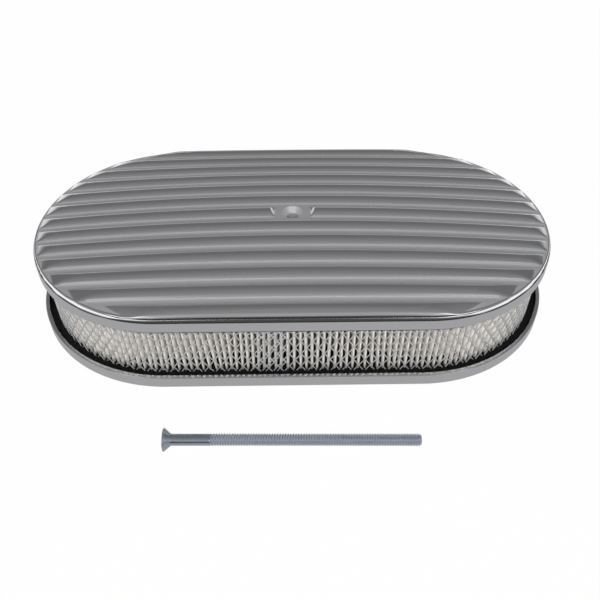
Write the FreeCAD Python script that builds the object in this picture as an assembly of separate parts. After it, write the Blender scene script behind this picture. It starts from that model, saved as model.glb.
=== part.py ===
import FreeCAD
import Part
import math
import os

# Oval finned air cleaner for one four-barrel carburetor, with its hold-down screw taken out.
# Millimetres. The origin is the centre of the carburetor neck on the plane that the base stands on.
# X runs along the fins, Y across them towards the back, Z up.

# Lid outline: a racetrack, 15 in by 8 in. Every other outline is an offset of it.
lid_length = 381.0
lid_width = 203.2
straight = (lid_length - lid_width) / 2

# Base casting
base_overhang = 3.8
base_height = 9.6
base_rim_wall = 2.8
base_floor = 3.0
base_edge_round = 0.8
air_horn_diameter = 130.2
neck_clearance = 0.15
neck_wall = 3.2
neck_height = 12.0
neck_mouth_round = 1.2
rib_gap_to_neck = 2.65
rib_width = 2.2
rib_height = 3.0

# Filter element, 2 in tall between its two seats
element_height = 50.8
element_gap_to_skirt = 0.8
screen_inset_in_seal = 1.0
screen_thickness = 0.8
seal_lap = 1.4
bottom_seal_height = 9.3
bottom_seal_edge = 4.6
top_seal_height = 7.8
seal_gap_to_rim = 0.3
seal_round = 0.7

# Pleated paper
pleat_pitch = 3.6
paper_thickness = 0.7
paper_gap = 0.2

# Diamond openings of the two screens
outer_screen_columns = 60
inner_screen_columns = 30
screen_rows = 2
strand = 2.4

# Lid casting
lid_wall = 2.8
skirt_depth = 3.2
rim_thickness = 9.6
rim_edge_round = 4.0
skirt_edge_round = 0.6
crown_rise = 8.7
crown_fall_to_ends = 9.3
crown_fall_to_sides = 8.9
crown_levelling = 0.72
crown_edge_inset = 4.0
flank_lean = 20.0
shell_thickness = 3.5
seat_width = 4.0

# Fins of the lid, as many as the width holds at their pitch
fin_pitch = 15.8
fin_half_width = 5.5
fin_height = 3.4
fin_end_radius = 18.0
fin_tip_inset = 3.2
fin_gap_floor = 25.6
fin_gap_top = 32.8

# Hold-down screw, 5/16-18 by 6.5 in, countersunk, and its hole in the lid
screw_diameter = 7.94
screw_length = 165.1
screw_head_diameter = 15.0
screw_head_rim = 0.5
screw_point = 1.2
countersink_angle = 82.0
screw_hole_clearance = 0.25
countersink_clearance = 0.15
hole_boss_diameter = 28.0
hole_boss_depth = 9.0
screw_floor_y = -154.4
screw_middle_x = -1.6
screw_recess_width = 2.0
screw_recess_span = 8.4
screw_recess_depth = 3.0
screw_recess_turn = 45.0

# Gasket in a groove under the base, round the neck's bore
neck_lip = 1.3
gasket_width = 6.0
gasket_thickness = 1.5
gasket_gap = 0.15
gasket_lift = 0.1

# Sizes that follow from the ones above
lid_radius = lid_width / 2
base_radius = lid_radius + base_overhang
base_inner_radius = base_radius - base_rim_wall
skirt_inner_radius = lid_radius - lid_wall
screen_radius = skirt_inner_radius - element_gap_to_skirt - screen_inset_in_seal
top_seal_radius = skirt_inner_radius - element_gap_to_skirt
bottom_seal_radius = base_inner_radius - seal_gap_to_rim
element_bottom = base_floor
element_top = element_bottom + element_height
media_bottom = element_bottom + bottom_seal_height
media_top = element_top - top_seal_height
lid_seat = element_top
lid_bottom = lid_seat - skirt_depth
rim_top = lid_seat + rim_thickness
crown_height = rim_top + crown_rise
neck_radius = air_horn_diameter / 2 + neck_clearance
neck_outer_radius = neck_radius + neck_wall
rib_inner_radius = neck_outer_radius + rib_gap_to_neck
rib_outer_radius = rib_inner_radius + rib_width
seal_inner_radius = rib_outer_radius + seal_gap_to_rim
inner_screen_radius = seal_inner_radius + seal_lap
groove_inner_radius = neck_radius + neck_lip
groove_outer_radius = groove_inner_radius + gasket_width
crown_edge_x = lid_length / 2 - crown_edge_inset
crown_edge_y = lid_radius - crown_edge_inset
fin_count = 2 * math.floor((lid_radius - fin_tip_inset) / fin_pitch) + 1
fin_arc_radius = (fin_half_width ** 2 + fin_height ** 2) / (2 * fin_height)
hole_radius = screw_diameter / 2 + screw_hole_clearance
countersink_radius = screw_head_diameter / 2 + countersink_clearance
half_angle = math.radians(countersink_angle / 2)

UP = FreeCAD.Vector(0, 0, 1)
ALONG_Y = FreeCAD.Vector(0, 1, 0)


def vec(x, y, z=0.0):
    return FreeCAD.Vector(x, y, z)


def racetrack_face(radius, z):
    """Flat racetrack, the offset of the common centre line by a radius."""
    s = straight
    edges = [
        Part.makeLine(vec(-s, -radius, z), vec(s, -radius, z)),
        Part.Arc(vec(s, -radius, z), vec(s + radius, 0, z), vec(s, radius, z)).toShape(),
        Part.makeLine(vec(s, radius, z), vec(-s, radius, z)),
        Part.Arc(vec(-s, radius, z), vec(-s - radius, 0, z), vec(-s, -radius, z)).toShape(),
    ]
    return Part.Face(Part.Wire(edges))


def racetrack(radius, z0, z1):
    return racetrack_face(radius, z0).extrude(UP * (z1 - z0))


def racetrack_ring(outer, inner, z0, z1):
    return racetrack(outer, z0, z1).cut(racetrack(inner, z0 - 1, z1 + 1))


def round_level_edges(solid, z, radius, outline):
    """Round the edges of a flat racetrack outline at one height."""
    edges = []
    for edge in solid.Edges:
        box = edge.BoundBox
        if abs(box.ZMin - z) > 0.01 or abs(box.ZMax - z) > 0.01:
            continue
        point = edge.valueAt((edge.FirstParameter + edge.LastParameter) / 2)
        if abs(distance_from_spine(point) - outline) < 0.05:
            edges.append(edge)
    return solid.makeFillet(radius, edges)


def distance_from_spine(point):
    dx = max(abs(point.x) - straight, 0.0)
    return math.hypot(dx, point.y)


def swept_round(profile):
    """Carry a closed profile of (radius, z) points round the racetrack as one ring."""
    face = Part.Face(Part.makePolygon([vec(straight, -r, z) for r, z in profile + profile[:1]]))
    turned = Part.Face(Part.makePolygon([vec(-straight, r, z) for r, z in profile + profile[:1]]))
    length = vec(2 * straight, 0, 0)
    pieces = [
        face.revolve(vec(straight, 0, 0), UP, 180),
        turned.revolve(vec(-straight, 0, 0), UP, 180),
        face.extrude(length * -1),
        turned.extrude(length),
    ]
    ring = pieces[0].fuse(pieces[1:]).removeSplitter()
    return ring.Solids[0]


def station(distance, reference, radius):
    """Point at a distance along the racetrack of one radius, moved out to another radius."""
    s = straight
    arc = math.pi * reference
    lap = 4 * s + 2 * arc
    u = distance % lap
    if u < 2 * s:
        return vec(u - s, -radius)
    u -= 2 * s
    if u < arc:
        a = u / reference - math.pi / 2
        return vec(s + radius * math.cos(a), radius * math.sin(a))
    u -= arc
    if u < 2 * s:
        return vec(s - u, radius)
    a = (u - 2 * s) / reference + math.pi / 2
    return vec(-s + radius * math.cos(a), radius * math.sin(a))


def lap_length(radius):
    return 4 * straight + 2 * math.pi * radius


def make_base():
    """Cast tray with a rim, a neck for the air horn and a rib that centres the element."""
    tray = racetrack(base_radius, 0, base_height)
    tray = tray.cut(racetrack(base_inner_radius, base_floor, base_height + 1))
    tray = round_level_edges(tray, base_height, base_edge_round, base_radius)
    tray = round_level_edges(tray, 0, base_edge_round, base_radius)
    rib = racetrack_ring(rib_outer_radius, rib_inner_radius, base_floor - 1, base_floor + rib_height)
    neck = Part.makeCylinder(neck_outer_radius, neck_height)
    bore = Part.makeCylinder(neck_radius, neck_height + 2, vec(0, 0, -1))
    body = tray.fuse([rib, neck]).cut(bore)
    mouth = []
    for edge in body.Edges:
        circle = edge.Curve
        if isinstance(circle, Part.Circle) and abs(circle.Center.z - neck_height) < 0.01:
            mouth.append(edge)
    body = body.makeFillet(neck_mouth_round, mouth)
    groove = flat_ring(groove_outer_radius, groove_inner_radius, 0, gasket_thickness)
    return body.cut(groove).removeSplitter()


def flat_ring(outer, inner, z0, z1):
    ring = Part.makeCylinder(outer, z1 - z0, vec(0, 0, z0))
    return ring.cut(Part.makeCylinder(inner, z1 - z0, vec(0, 0, z0)))


def make_neck_gasket():
    outer = groove_outer_radius - gasket_gap
    inner = groove_inner_radius + gasket_gap
    return flat_ring(outer, inner, gasket_lift, gasket_thickness)


def make_bottom_seal():
    """Moulded foot of the element, with a flange that slopes down to the rim of the base."""
    low = element_bottom
    edge = element_bottom + bottom_seal_edge
    lip = screen_radius + screen_thickness / 2
    profile = [
        (seal_inner_radius, low),
        (bottom_seal_radius - seal_round, low),
        (bottom_seal_radius, low + seal_round),
        (bottom_seal_radius, edge - seal_round),
        (bottom_seal_radius - seal_round, edge),
        (lip, media_bottom),
        (seal_inner_radius + seal_round, media_bottom),
        (seal_inner_radius, media_bottom - seal_round),
    ]
    return swept_round(profile)


def make_top_seal():
    profile = [
        (seal_inner_radius, media_top + seal_round),
        (seal_inner_radius + seal_round, media_top),
        (top_seal_radius - seal_round, media_top),
        (top_seal_radius, media_top + seal_round),
        (top_seal_radius, element_top - seal_round),
        (top_seal_radius - seal_round, element_top),
        (seal_inner_radius, element_top),
    ]
    return swept_round(profile)


def make_pleated_paper():
    """One strip of paper folded into deep V pleats that stand on end all the way round."""
    outer = screen_radius - screen_thickness - paper_gap
    inner = inner_screen_radius + screen_thickness + paper_gap
    count = round(lap_length(outer) / pleat_pitch)
    half_fold = lap_length(outer) / (2 * count)
    lean = math.atan(half_fold / (outer - inner))
    mitre = paper_thickness / math.sin(lean)
    outside = []
    inside = []
    for fold in range(2 * count):
        along = fold * half_fold
        if fold % 2 == 0:
            outside.append(station(along, outer, outer))
            inside.append(station(along, outer, outer - mitre))
        else:
            outside.append(station(along, outer, inner + mitre))
            inside.append(station(along, outer, inner))
    ring = Part.Face([
        Part.makePolygon(outside + outside[:1]),
        Part.makePolygon(inside + inside[:1]),
    ])
    ring.validate()
    ring.translate(UP * media_bottom)
    return ring.extrude(UP * (media_top - media_bottom))


def make_screen(radius, columns):
    """Wall of expanded metal: staggered rows of diamond openings between slanting strands."""
    wall = racetrack_ring(radius, radius - screen_thickness, media_bottom, media_top)
    step = lap_length(radius) / columns
    height = (media_top - media_bottom) / (screen_rows + 1) * 2
    half_w = step / 2 - strand * 0.6
    half_h = height / 2 - strand
    reach = 2 * screen_thickness
    cutters = []
    for row in range(screen_rows):
        z = media_bottom + height / 2 * (row + 1)
        for column in range(columns):
            along = (column + 0.5 * (row % 2)) * step
            near = station(along, radius, radius - reach)
            far = station(along, radius, radius + reach)
            out = (far - near).normalize()
            side = UP.cross(out)
            middle = near + UP * z
            corners = [side * half_w, UP * half_h, side * -half_w, UP * -half_h]
            points = [middle + corner for corner in corners]
            diamond = Part.Face(Part.makePolygon(points + points[:1]))
            cutters.append(diamond.extrude(far - near))
    return wall.cut(cutters)


def crown_floor(xx, yy):
    """Height of the valley floor, from the squares of x and y.

    The fall towards the ends gets less towards the long sides, which keeps the edge nearly level.
    """
    to_sides = yy / crown_edge_y ** 2
    to_ends = xx / crown_edge_x ** 2 * (1 - crown_levelling * to_sides)
    return crown_height - crown_fall_to_sides * to_sides - crown_fall_to_ends * to_ends


def crown_radius_along(y):
    """Radius of the crown along X at one y."""
    levelled = 1 - crown_levelling * (y / crown_edge_y) ** 2
    return crown_edge_x ** 2 / (2 * crown_fall_to_ends * levelled)


def crown_solid(drop, depth):
    """Block under the doubly curved crown, which is one quadratic patch."""
    half_x = lid_length / 2 + base_overhang
    half_y = base_radius
    patch = Part.BezierSurface()
    patch.increase(2, 2)
    for i in (-1, 0, 1):
        for j in (-1, 0, 1):
            # A pole in the middle stands at minus the square, where the square's parabola has it
            xx = half_x ** 2 * (1 if i else -1)
            yy = half_y ** 2 * (1 if j else -1)
            pole = vec(i * half_x, j * half_y, crown_floor(xx, yy) - drop)
            patch.setPole(i + 2, j + 2, pole)
    return patch.toShape().extrude(UP * -depth)


def turned_about(face, axis_point, half_turn):
    """Turn a face in the X = 0 plane both ways about a long axis across the lid."""
    start = face.copy()
    start.rotate(axis_point, ALONG_Y, -half_turn)
    return start.revolve(axis_point, ALONG_Y, 2 * half_turn)


def make_fin(y):
    """Rounded ridge that follows the crown and rolls down at both ends."""
    floor = crown_floor(0, y ** 2)
    axis_z = floor - crown_radius_along(y)
    centre_z = floor + fin_height - fin_arc_radius
    sweep_radius = centre_z - axis_z
    end_radius = fin_end_radius - fin_arc_radius
    tip = straight + math.sqrt((lid_radius - fin_tip_inset) ** 2 - y ** 2)
    roll = math.acos(1 - fin_height / fin_end_radius)
    past_floor = 75
    turn = 0.0
    # The turn and the reach depend on each other, and settle after a few rounds
    for _ in range(8):
        reach = tip - fin_end_radius * math.sin(turn + roll)
        turn = math.asin(reach / (sweep_radius - end_radius))
    low = vec(0, y - fin_arc_radius, centre_z)
    top = vec(0, y, centre_z + fin_arc_radius)
    far = vec(0, y + fin_arc_radius, centre_z)
    section = Part.Face(Part.Wire([Part.Arc(low, top, far).toShape(), Part.makeLine(far, low)]))
    pieces = [turned_about(section, vec(0, 0, axis_z), math.degrees(turn))]
    for sign in (-1, 1):
        angle = sign * math.degrees(turn)
        end = section.copy()
        end.rotate(vec(0, 0, axis_z), ALONG_Y, angle)
        arm = sweep_radius - end_radius
        pivot = vec(sign * arm * math.sin(turn), 0, axis_z + arm * math.cos(turn))
        pieces.append(end.revolve(pivot, ALONG_Y, sign * past_floor))
    return pieces


def fin_gap():
    """Wedge that breaks the middle fin, so that the screw hole has a flat to itself."""
    floor = crown_height
    top = crown_height + 2 * fin_height
    slope = (fin_gap_top - fin_gap_floor) / 2 / fin_height
    half_floor = fin_gap_floor / 2
    half_top = half_floor + slope * (top - floor)
    points = [vec(-half_floor, 0, floor), vec(half_floor, 0, floor),
              vec(half_top, 0, top), vec(-half_top, 0, top)]
    face = Part.Face(Part.makePolygon(points + points[:1]))
    face.translate(ALONG_Y * (-fin_pitch / 2))
    return face.extrude(ALONG_Y * fin_pitch)


def leaning_racetrack(radius, z0, z1, lean):
    """Racetrack block whose sides lean inwards by an angle."""
    inset = (z1 - z0) * math.tan(math.radians(lean))
    low = racetrack_face(radius, z0).OuterWire
    high = racetrack_face(radius - inset, z1).OuterWire
    return Part.makeLoft([low, high], True, True)


def make_lid():
    """Finned casting with a hollow underside, a skirt, two seats and a countersunk hole."""
    rim = racetrack(lid_radius, lid_bottom, rim_top)
    rim = round_level_edges(rim, rim_top, rim_edge_round, lid_radius)
    rim = round_level_edges(rim, lid_bottom, skirt_edge_round, lid_radius)
    inside_round = racetrack(lid_radius - rim_edge_round, lid_bottom, crown_height + 1)
    crown = crown_solid(0, 2 * (crown_height - lid_bottom)).common(rim.fuse(inside_round))
    fins = []
    middle = (fin_count - 1) / 2
    for number in range(fin_count):
        pieces = make_fin((number - middle) * fin_pitch)
        if number == middle:
            wedge = fin_gap()
            pieces = [piece.cut(wedge) for piece in pieces]
        fins.extend(pieces)
    flank = leaning_racetrack(lid_radius, rim_top - rim_edge_round, crown_height + 2 * fin_height, flank_lean)
    ridges = fins[0].fuse(fins[1:]).common(flank)
    return finish_lid(crown.fuse(ridges))


def finish_lid(body):
    """Hollow the lid out and give it its seats, boss and screw hole."""
    recess = racetrack(skirt_inner_radius, lid_bottom - 1, lid_seat)
    hollow = racetrack(skirt_inner_radius - seat_width, lid_bottom - 1, crown_height)
    hollow = hollow.common(crown_solid(shell_thickness, 2 * (crown_height - lid_bottom)))
    seat_outer = seal_inner_radius + seat_width
    seat = racetrack_ring(seat_outer, rib_inner_radius, lid_seat, crown_height)
    locating = racetrack_ring(rib_outer_radius, rib_inner_radius, lid_seat - rib_height, lid_seat + 1)
    boss = Part.makeCylinder(hole_boss_diameter / 2, hole_boss_depth,
                             vec(0, 0, crown_height - hole_boss_depth))
    hollow = hollow.cut([seat, boss])
    lid = body.cut([recess, hollow]).fuse(locating)
    drop = (countersink_radius - hole_radius) / math.tan(half_angle)
    lift = 1.0
    wide = countersink_radius + lift * math.tan(half_angle)
    hole = Part.makeCylinder(hole_radius, 3 * hole_boss_depth, vec(0, 0, crown_height - 2 * hole_boss_depth))
    cone = Part.makeCone(hole_radius, wide, drop + lift, vec(0, 0, crown_height - drop))
    return lid.cut([hole, cone]).removeSplitter()


def make_hold_down_screw():
    """Countersunk screw that lies on its head's rim and its tip, as it does on a floor."""
    radius = screw_diameter / 2
    head = screw_head_diameter / 2
    neck_x = screw_head_rim + (head - radius) / math.tan(half_angle)
    points = [
        vec(0, 0, 0),
        vec(0, 0, head),
        vec(screw_head_rim, 0, head),
        vec(neck_x, 0, radius),
        vec(screw_length - screw_point, 0, radius),
        vec(screw_length, 0, radius - screw_point),
        vec(screw_length, 0, 0),
    ]
    profile = Part.Face(Part.makePolygon(points + points[:1]))
    screw = profile.revolve(vec(0, 0, 0), vec(1, 0, 0), 360)
    span = screw_recess_span / 2
    arm = screw_recess_width / 2
    for turn in (0, 90):
        slot = Part.makeBox(screw_recess_depth, 2 * arm, 2 * span, vec(0, -arm, -span))
        taper = Part.makePolygon([vec(0, -arm, span), vec(screw_recess_depth, -arm, span / 3),
                                  vec(screw_recess_depth, -arm, span), vec(0, -arm, span)])
        waste = Part.Face(taper).extrude(ALONG_Y * (2 * arm))
        slot = slot.cut([waste, waste.mirror(vec(0, 0, 0), UP)])
        slot.rotate(vec(0, 0, 0), vec(1, 0, 0), turn + screw_recess_turn)
        screw = screw.cut(slot)
    run = screw_length - screw_head_rim
    lean = math.atan2(head - radius, screw_length - screw_point - screw_head_rim)
    screw.rotate(vec(0, 0, 0), ALONG_Y, math.degrees(lean))
    lowest = screw.BoundBox.ZMin
    screw.translate(vec(screw_middle_x - run / 2, screw_floor_y, -lowest))
    return screw


def main():
    os.makedirs("parts", exist_ok=True)
    nodes = {
        "base": make_base(),
        "neck_gasket": make_neck_gasket(),
        "bottom_seal": make_bottom_seal(),
        "top_seal": make_top_seal(),
        "pleated_paper": make_pleated_paper(),
        "outer_screen": make_screen(screen_radius, outer_screen_columns),
        "inner_screen": make_screen(inner_screen_radius + screen_thickness, inner_screen_columns),
        "lid": make_lid(),
        "hold_down_screw": make_hold_down_screw(),
    }
    for name, shape in nodes.items():
        solid = shape.Solids[0] if len(shape.Solids) == 1 else shape
        solid.exportStep("parts/" + name + ".step")
        print(name, len(shape.Solids), shape.isValid(), round(shape.Volume), shape.BoundBox)


main()
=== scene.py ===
import math

import bpy
import numpy as np
from mathutils import Matrix, Vector


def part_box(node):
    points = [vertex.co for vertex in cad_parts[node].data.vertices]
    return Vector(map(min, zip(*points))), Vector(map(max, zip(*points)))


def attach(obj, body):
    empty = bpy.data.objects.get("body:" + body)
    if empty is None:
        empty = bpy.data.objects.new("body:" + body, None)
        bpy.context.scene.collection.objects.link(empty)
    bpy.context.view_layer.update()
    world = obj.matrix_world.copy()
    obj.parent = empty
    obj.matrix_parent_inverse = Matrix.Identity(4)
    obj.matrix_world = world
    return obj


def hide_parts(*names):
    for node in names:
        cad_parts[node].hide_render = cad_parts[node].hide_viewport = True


# The oval finned air cleaner, dressed for a studio picture. Metres, Z up.
# X runs along the fins, Y across them towards the back, and the origin is the centre of the neck.

bl_info = {
    "name": "Oval finned air cleaner",
    "version": (1, 0, 0),
    "blender": (4, 5, 0),
    "location": "3D View > Sidebar > Air cleaner",
    "description": "Dresses an oval finned air cleaner, its element and its hold-down screw",
    "category": "Object",
}

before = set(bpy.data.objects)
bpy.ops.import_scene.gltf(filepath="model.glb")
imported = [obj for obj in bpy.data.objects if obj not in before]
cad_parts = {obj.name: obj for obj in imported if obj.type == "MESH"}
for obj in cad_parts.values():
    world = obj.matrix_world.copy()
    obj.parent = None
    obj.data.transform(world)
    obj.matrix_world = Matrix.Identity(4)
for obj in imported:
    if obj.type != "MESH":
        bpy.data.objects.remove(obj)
MM = 0.001

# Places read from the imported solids
LID_LOW, LID_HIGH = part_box("lid")
BASE_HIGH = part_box("base")[1]
SCREEN_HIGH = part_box("outer_screen")[1]
PAPER_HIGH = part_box("pleated_paper")[1]
SEAL_LOW, SEAL_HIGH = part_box("bottom_seal")
SCREW_LOW, SCREW_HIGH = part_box("hold_down_screw")
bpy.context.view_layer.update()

LID_RADIUS = LID_HIGH[1]
STRAIGHT = LID_HIGH[0] - LID_HIGH[1]
BASE_RADIUS = BASE_HIGH[1]
SCREEN_RADIUS = SCREEN_HIGH[1]
SEAT_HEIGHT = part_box("top_seal")[1][2]


def length(name, description, millimetres):
    return bpy.props.FloatProperty(
        name=name, description=description, default=millimetres * MM, unit="LENGTH")


def colour(name, description, default):
    return bpy.props.FloatVectorProperty(
        name=name, description=description, default=default, subtype="COLOR", min=0, max=1)


class LidSizes(bpy.types.PropertyGroup):
    """Sizes of the finned lid that a user would change."""

    fin_count: bpy.props.IntProperty(name="Fins", description="Number of fins", default=13, min=3)
    fin_pitch: length("Fin pitch", "Distance between two fins", 15.8)
    fin_half_width: length("Fin half width", "Half of a fin's width at its foot", 5.8)
    fin_height: length("Fin height", "Height of a fin above the valleys", 3.4)
    fin_end_radius: length("Fin end radius", "Radius that a fin's end rolls down on", 26)
    foot_round: length("Foot rounding", "Softness of the line where a fin meets its valley", 0.55)
    foot_width: length("Foot width", "Width of the satin foot beside each fin", 0.5)
    fall_to_ends: length("Fall to the ends", "Fall of the crown from its middle to its ends", 9.3)
    fall_to_sides: length("Fall to the sides", "Fall of the crown to its long sides", 8.9)
    levelling: bpy.props.FloatProperty(
        name="Levelling", description="Share of the fall to the ends that is gone at the long sides",
        default=0.72, min=0, max=1)
    gap_floor: length("Flat at the hole", "Length of the flat in the middle fin", 25.6)
    gap_top: length("Gap at the crest", "Length of the gap at the middle fin's crest", 32.8)


class ElementSizes(bpy.types.PropertyGroup):
    """Sizes of the filter element."""

    diamond_width: length("Diamond width", "Width of one opening of the screen", 8.0)
    diamond_height: length("Diamond height", "Height of one opening of the screen", 12.4)
    strand: length("Strand", "Width of the screen's strands", 0.85)
    pleat_pitch: length("Pleat pitch", "Distance between two outer folds", 4.08)
    seam_left: length("Seam start", "Where the lapped seam of the screen starts", -24)
    seam_right: length("Seam end", "Where the lapped seam of the screen ends", -14)


class ScrewSizes(bpy.types.PropertyGroup):
    """Sizes of the hold-down screw."""

    diameter: length("Diameter", "Diameter over the thread", 7.94)
    length: length("Length", "Length over the head", 165.1)
    head_diameter: length("Head", "Diameter of the head", 15.0)
    pitch: length("Thread pitch", "Distance between two turns of the thread", 1.7)
    plain_length: length("Plain length", "Length of the shank with no thread", 24)


class Finishes(bpy.types.PropertyGroup):
    """Colours of the finishes."""

    aluminium: colour("Aluminium", "Colour of the polished castings", (0.80, 0.80, 0.815))
    wire: colour("Screen", "Colour of the screen's metal", (0.84, 0.85, 0.87))
    paper: colour("Paper", "Colour of the filter paper", (0.84, 0.815, 0.775))
    rubber: colour("Rubber", "Colour of the moulded seals", (0.006, 0.006, 0.0065))
    zinc: colour("Zinc", "Colour of the screw's plating", (0.64, 0.70, 0.80))


def lid_sizes():
    return bpy.context.scene.air_cleaner_lid


def element_sizes():
    return bpy.context.scene.air_cleaner_element


def screw_sizes():
    return bpy.context.scene.air_cleaner_screw


def finishes():
    return bpy.context.scene.air_cleaner_finishes


# Mesh helpers

def mesh_object(name, points, faces):
    """A piece from computed points, for a shape that follows a formula."""
    if not faces:
        raise RuntimeError("No faces for " + name)
    mesh = bpy.data.meshes.new(name)
    mesh.from_pydata([tuple(p) for p in points], [], [tuple(f) for f in faces])
    mesh.validate()
    mesh.update()
    piece = bpy.data.objects.new(name, mesh)
    bpy.context.collection.objects.link(piece)
    return piece


def pick(piece):
    """Make a piece the only selected one, and the active one."""
    bpy.ops.object.select_all(action="DESELECT")
    piece.select_set(True)
    bpy.context.view_layer.objects.active = piece


def apply_modifier(piece, kind, **values):
    pick(piece)
    modifier = piece.modifiers.new(kind.title(), kind)
    for key, value in values.items():
        setattr(modifier, key, value)
    bpy.ops.object.modifier_apply(modifier=modifier.name)


def smooth_by_angle(piece, degrees):
    pick(piece)
    bpy.ops.object.shade_smooth_by_angle(angle=math.radians(degrees))


def merge_and_turn_out(piece, distance=0.01 * MM):
    """Merge doubled points, close seams and turn all faces outwards."""
    pick(piece)
    bpy.ops.object.mode_set(mode="EDIT")
    bpy.ops.mesh.select_all(action="SELECT")
    bpy.ops.mesh.remove_doubles(threshold=distance)
    bpy.ops.mesh.normals_make_consistent(inside=False)
    bpy.ops.object.mode_set(mode="OBJECT")


def grid_faces(rows, columns, closed=False):
    """Quads between the rows and columns of a grid of points, counted row by row."""
    faces = []
    for r in range(rows - 1):
        for c in range(columns if closed else columns - 1):
            d = (c + 1) % columns
            faces.append((r * columns + c, r * columns + d, (r + 1) * columns + d, (r + 1) * columns + c))
    return faces


def spine_stations(arc_steps, side_steps):
    """Places round a racetrack: a point of the centre line and the way out of it."""
    places = []
    for i in range(side_steps):
        x = -STRAIGHT + 2 * STRAIGHT * i / side_steps
        places.append((x, 0.0, -1.0))
    for i in range(arc_steps):
        a = -math.pi / 2 + math.pi * i / arc_steps
        places.append((STRAIGHT, math.cos(a), math.sin(a)))
    for i in range(side_steps):
        x = STRAIGHT - 2 * STRAIGHT * i / side_steps
        places.append((x, 0.0, 1.0))
    for i in range(arc_steps):
        a = math.pi / 2 + math.pi * i / arc_steps
        places.append((-STRAIGHT, math.cos(a), math.sin(a)))
    return places


def lap_length(radius):
    return 4 * STRAIGHT + 2 * math.pi * radius


def on_lap(distance, reference, radius):
    """Point at a distance round the racetrack of one radius, moved out to another radius."""
    arc = math.pi * reference
    u = distance % lap_length(reference)
    if u < 2 * STRAIGHT:
        return u - STRAIGHT, -radius
    u -= 2 * STRAIGHT
    if u < arc:
        a = u / reference - math.pi / 2
        return STRAIGHT + radius * math.cos(a), radius * math.sin(a)
    u -= arc
    if u < 2 * STRAIGHT:
        return STRAIGHT - u, radius
    a = (u - 2 * STRAIGHT) / reference + math.pi / 2
    return -STRAIGHT + radius * math.cos(a), radius * math.sin(a)


def swept_ring(profile, places):
    """Points and faces of a closed profile of (radius, z) carried round the racetrack."""
    points = []
    for radius, z in profile:
        for x, nx, ny in places:
            points.append((x + radius * nx, radius * ny, z))
    rows = len(profile)
    columns = len(places)
    faces = grid_faces(rows, columns, closed=True)
    last = (rows - 1) * columns
    for c in range(columns):
        d = (c + 1) % columns
        faces.append((last + c, last + d, d, c))
    return points, faces


def arc_points(centre, radius, start, end, steps):
    """Points of (radius, z) on an arc between two angles in degrees."""
    points = []
    for i in range(steps + 1):
        a = math.radians(start + (end - start) * i / steps)
        points.append((centre[0] + radius * math.cos(a), centre[1] + radius * math.sin(a)))
    return points


# Lid

LID_WALL = 2.8 * MM
LID_SKIRT_ROUND = 0.6 * MM
RIM_TURNS = ((90, 77, 1.8 * MM), (77, 66, 2.2 * MM), (66, 55, 3.0 * MM), (55, 38, 1.3 * MM))
RIM_BEVEL = math.tan(math.radians(38))
LID_WALL_TOP = SEAT_HEIGHT + 3.9 * MM
CROWN_EDGE_INSET = 4.0 * MM
LID_SHELL = 3.5 * MM
LID_SEAT_WIDTH = 4.0 * MM
FIN_TIP_INSET = 3.2 * MM
LID_GRID_INSET = 5 * MM
RIM_TURN_STEPS = 5
RIM_SOFTNESS = 0.3 * MM
FIN_RIM_SOFTNESS = 0.15 * MM
FIN_END_SOFTNESS = 0.5 * MM
GAP_SOFTNESS = 0.3 * MM
SLOWEST_ROLL = 0.45
ROWS_PER_FIN = 22
END_ROWS = 24
END_COLUMNS = 52
SATIN_FADE = 0.3 * MM
SUNK_SATIN = 0.6
UNDERSIDE_BEND = 86 * MM
UNDERSIDE_RINGS = 6
CROWN_HEIGHT = LID_HIGH[2] - 3.4 * MM
# Locating rib on base and lid
RIB_OUTER = 73.3 * MM
RIB_WIDTH = 2.2 * MM
RIB_HEIGHT = 3.0 * MM
# Hole for the screw
SCREW_HOLE_RADIUS = 4.22 * MM
COUNTERSINK_RADIUS = 7.65 * MM
BOSS_RADIUS = 14 * MM
BOSS_DEPTH = 9 * MM
SCREW_HEAD_SLOPE = math.tan(math.radians(41))


def crown(x, y):
    """Height of the doubly curved crown, nearly level all round its edge."""
    sizes = lid_sizes()
    to_sides = (y / (LID_RADIUS - CROWN_EDGE_INSET)) ** 2
    to_ends = (x / (LID_HIGH[0] - CROWN_EDGE_INSET)) ** 2 * (1 - sizes.levelling * to_sides)
    return CROWN_HEIGHT - sizes.fall_to_sides * to_sides - sizes.fall_to_ends * to_ends


def soft_max(a, b, width):
    return (a + b + np.sqrt((a - b) ** 2 + width ** 2)) / 2


def soft_min(a, b, width):
    return (a + b - np.sqrt((a - b) ** 2 + width ** 2)) / 2


def inside_outline(x, y, radius):
    """Distance from a racetrack outline inwards."""
    beyond = np.maximum(np.abs(x) - STRAIGHT, 0)
    return radius - np.hypot(beyond, y)


def rim_points():
    """Insets and heights up the rim: out of the wall, over the steep flank and on to the bevel."""
    inset, height = 0.0, LID_WALL_TOP
    points = [(inset, height)]
    for start, end, run in RIM_TURNS:
        step = run / RIM_TURN_STEPS
        for i in range(RIM_TURN_STEPS):
            tilt = math.radians(start + (end - start) * (i + 0.5) / RIM_TURN_STEPS)
            inset += step * math.cos(tilt)
            height += step * math.sin(tilt)
            points.append((inset, height))
    return points


def rim_height(inwards):
    """Height that the rim allows at a distance from the outline."""
    insets, heights = zip(*rim_points())
    return np.interp(inwards, insets, heights) + np.maximum(inwards - insets[-1], 0) * RIM_BEVEL


def fin_tip(number, y):
    """X at which a fin's end meets its tip line, and how slowly it rolls down towards it."""
    line = LID_RADIUS - FIN_TIP_INSET
    middle = number * lid_sizes().fin_pitch
    place = np.minimum(np.abs(middle + y) / 2, line)
    slowness = np.clip(1 - (np.abs(middle) / line) ** 2, 0, 1) ** 0.6
    return STRAIGHT + np.sqrt(line ** 2 - place ** 2), np.maximum(slowness, SLOWEST_ROLL)


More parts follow.
